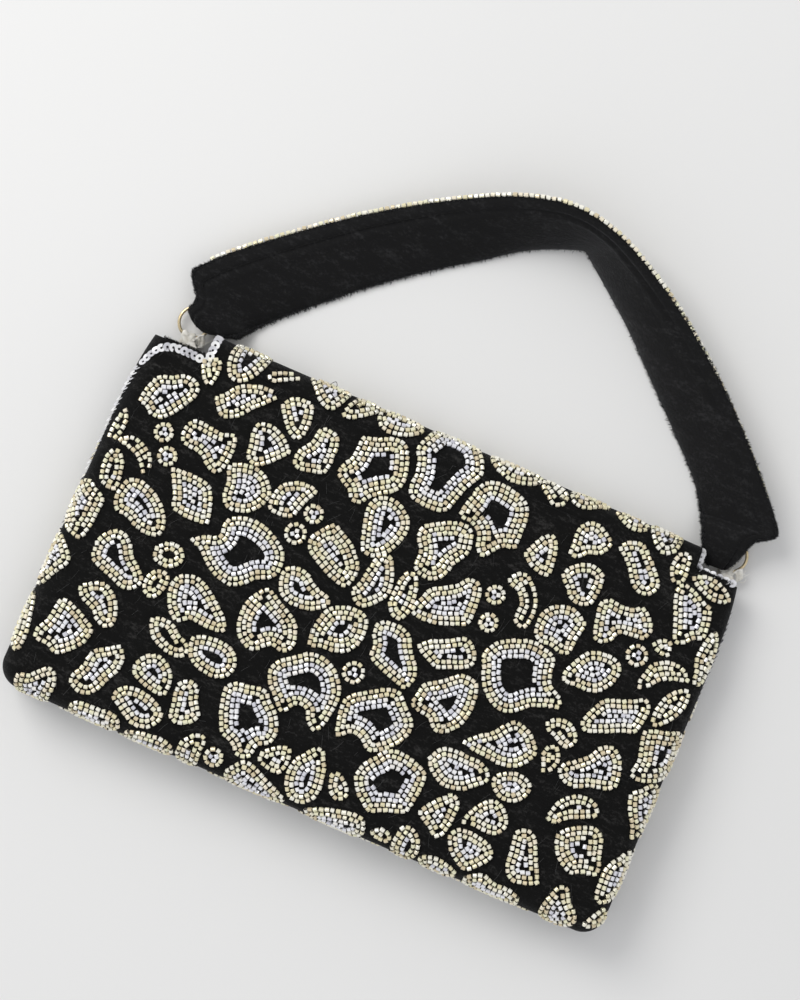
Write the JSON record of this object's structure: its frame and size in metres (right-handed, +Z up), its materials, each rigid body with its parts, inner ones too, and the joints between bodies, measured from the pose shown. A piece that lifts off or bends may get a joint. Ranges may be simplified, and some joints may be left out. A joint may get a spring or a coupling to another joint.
{
  "type": "evening bag",
  "caption": "Flat beaded velvet evening bag with a full-length fold-over flap, sequin edging, and a wide velvet strap held by small gold rings.",
  "frame": {"origin": "on the surface the bag lies on, under the middle of the flap", "axes": "+X to the right along the bag's width, +Y from the lower edge towards the strap, +Z up out of the flap's face"},
  "size_m": [0.257, 0.258, 0.028],
  "materials": {
    "beaded_velvet": "black velvet under short glass beads",
    "velvet": "black velvet pile",
    "satin": "black satin",
    "board": "stiff buckram board",
    "ribbon": "cream grosgrain ribbon",
    "gold_metal": "polished pale gold",
    "snap_metal": "nickel plated",
    "sequin": "silvery white gloss",
    "beads_gold": "champagne lined cut glass",
    "beads_silver": "silver lined cut glass"
  },
  "bodies": {
    "bag": {"back_panel": "beaded_velvet", "back_board": "board", "front_panel": "velvet", "front_board": "board", "bottom_gusset": "beaded_velvet", "side_gusset_left": "beaded_velvet", "side_gusset_right": "beaded_velvet", "base_board": "board", "lining_pouch": "satin", "slip_pocket": "satin", "snap_socket": "snap_metal", "snap_socket_plate": "snap_metal", "ribbon_tab_left": "ribbon", "ribbon_tab_right": "ribbon"},
    "flap": {"flap_panel": "beaded_velvet", "flap_board": "board", "flap_lining": "satin", "snap_stud": "snap_metal", "snap_stud_plate": "snap_metal", "sequin_edging": "sequin"},
    "rings": {"ring_left": "gold_metal", "ring_right": "gold_metal"},
    "strap": {"strap_face": "beaded_velvet", "strap_core": "board", "strap_lining": "velvet", "strap_loop_left": "velvet", "strap_loop_right": "velvet"}
  },
  "joints": [
    {"name": "flap_hinge", "type": "hinge", "parent": "bag", "child": "flap", "pos_m": [0, 0.071, 0.009], "axis": [-1, 0, 0], "range_deg": [0, 95]},
    {"name": "ring_swing", "type": "hinge", "parent": "bag", "child": "rings", "pos_m": [0, 0.0754, 0.0034], "axis": [1, 0, 0], "range_deg": [0, 30]},
    {"name": "strap_swing", "type": "hinge", "parent": "rings", "child": "strap", "pos_m": [0, 0.0876, 0.0034], "axis": [1, 0, 0], "range_deg": [0, 30]}
  ]
}
